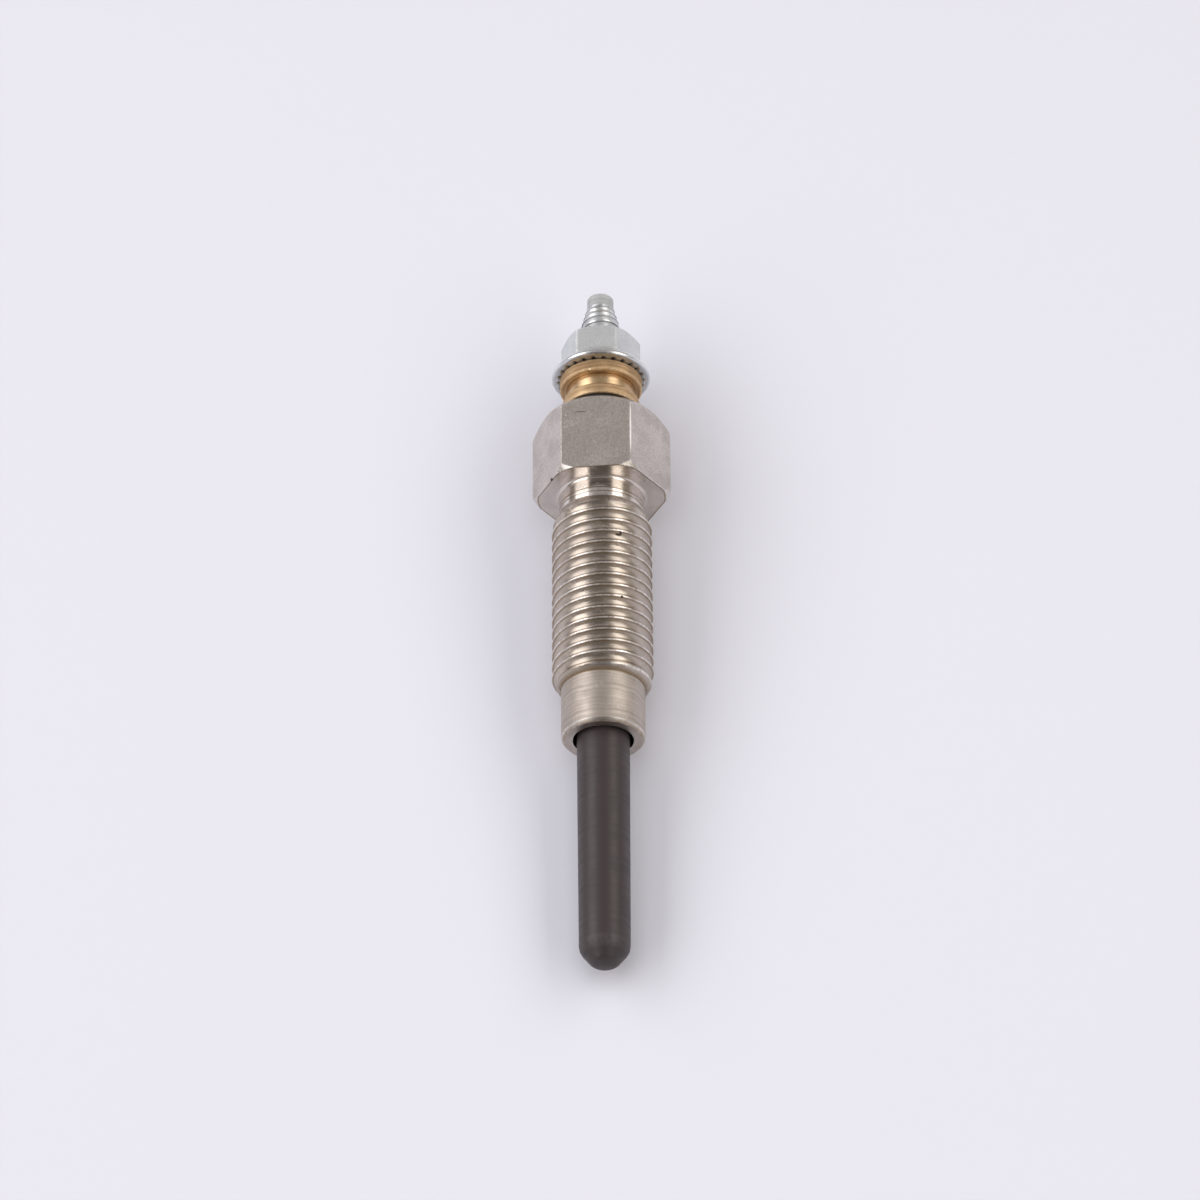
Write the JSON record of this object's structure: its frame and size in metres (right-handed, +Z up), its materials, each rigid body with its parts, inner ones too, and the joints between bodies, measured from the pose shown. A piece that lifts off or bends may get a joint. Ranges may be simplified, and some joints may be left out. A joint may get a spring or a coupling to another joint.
{
  "type": "diesel glow plug",
  "caption": "Slim diesel glow plug: nickel-plated hex body with a fine screw thread, dark heater tube, black insulator, brass round nut and flanged terminal nut on a threaded stud.",
  "frame": {"origin": "middle of the plug's box, on the surface that it lies on", "axes": "+Z up from the surface; +Y along the plug towards its terminal stud, -Y towards the glowing tip; +X to the right seen from the tip"},
  "size_m": [0.0138, 0.0764, 0.0123],
  "materials": {
    "nickel_plated_steel": "satin nickel plating, warm grey",
    "heat_resistant_tube": "dark oxidised heat-resistant alloy, satin",
    "resistance_wire": "bright drawn wire",
    "magnesia_powder": "packed white powder",
    "black_rubber": "matt black",
    "zinc_plated_steel": "bright zinc plating, bluish",
    "black_insulator": "moulded black plastic",
    "turned_brass": "turned brass, lightly scratched"
  },
  "bodies": {
    "root": {"body_shell": "nickel_plated_steel", "heater_tube": "heat_resistant_tube", "heating_coil": "resistance_wire", "regulating_coil": "resistance_wire", "magnesia_fill": "magnesia_powder", "tube_seal": "black_rubber", "centre_electrode": "zinc_plated_steel", "o_ring": "black_rubber", "insulator_bush": "black_insulator", "round_nut": "turned_brass", "terminal_nut": "zinc_plated_steel"}
  },
  "joints": []
}
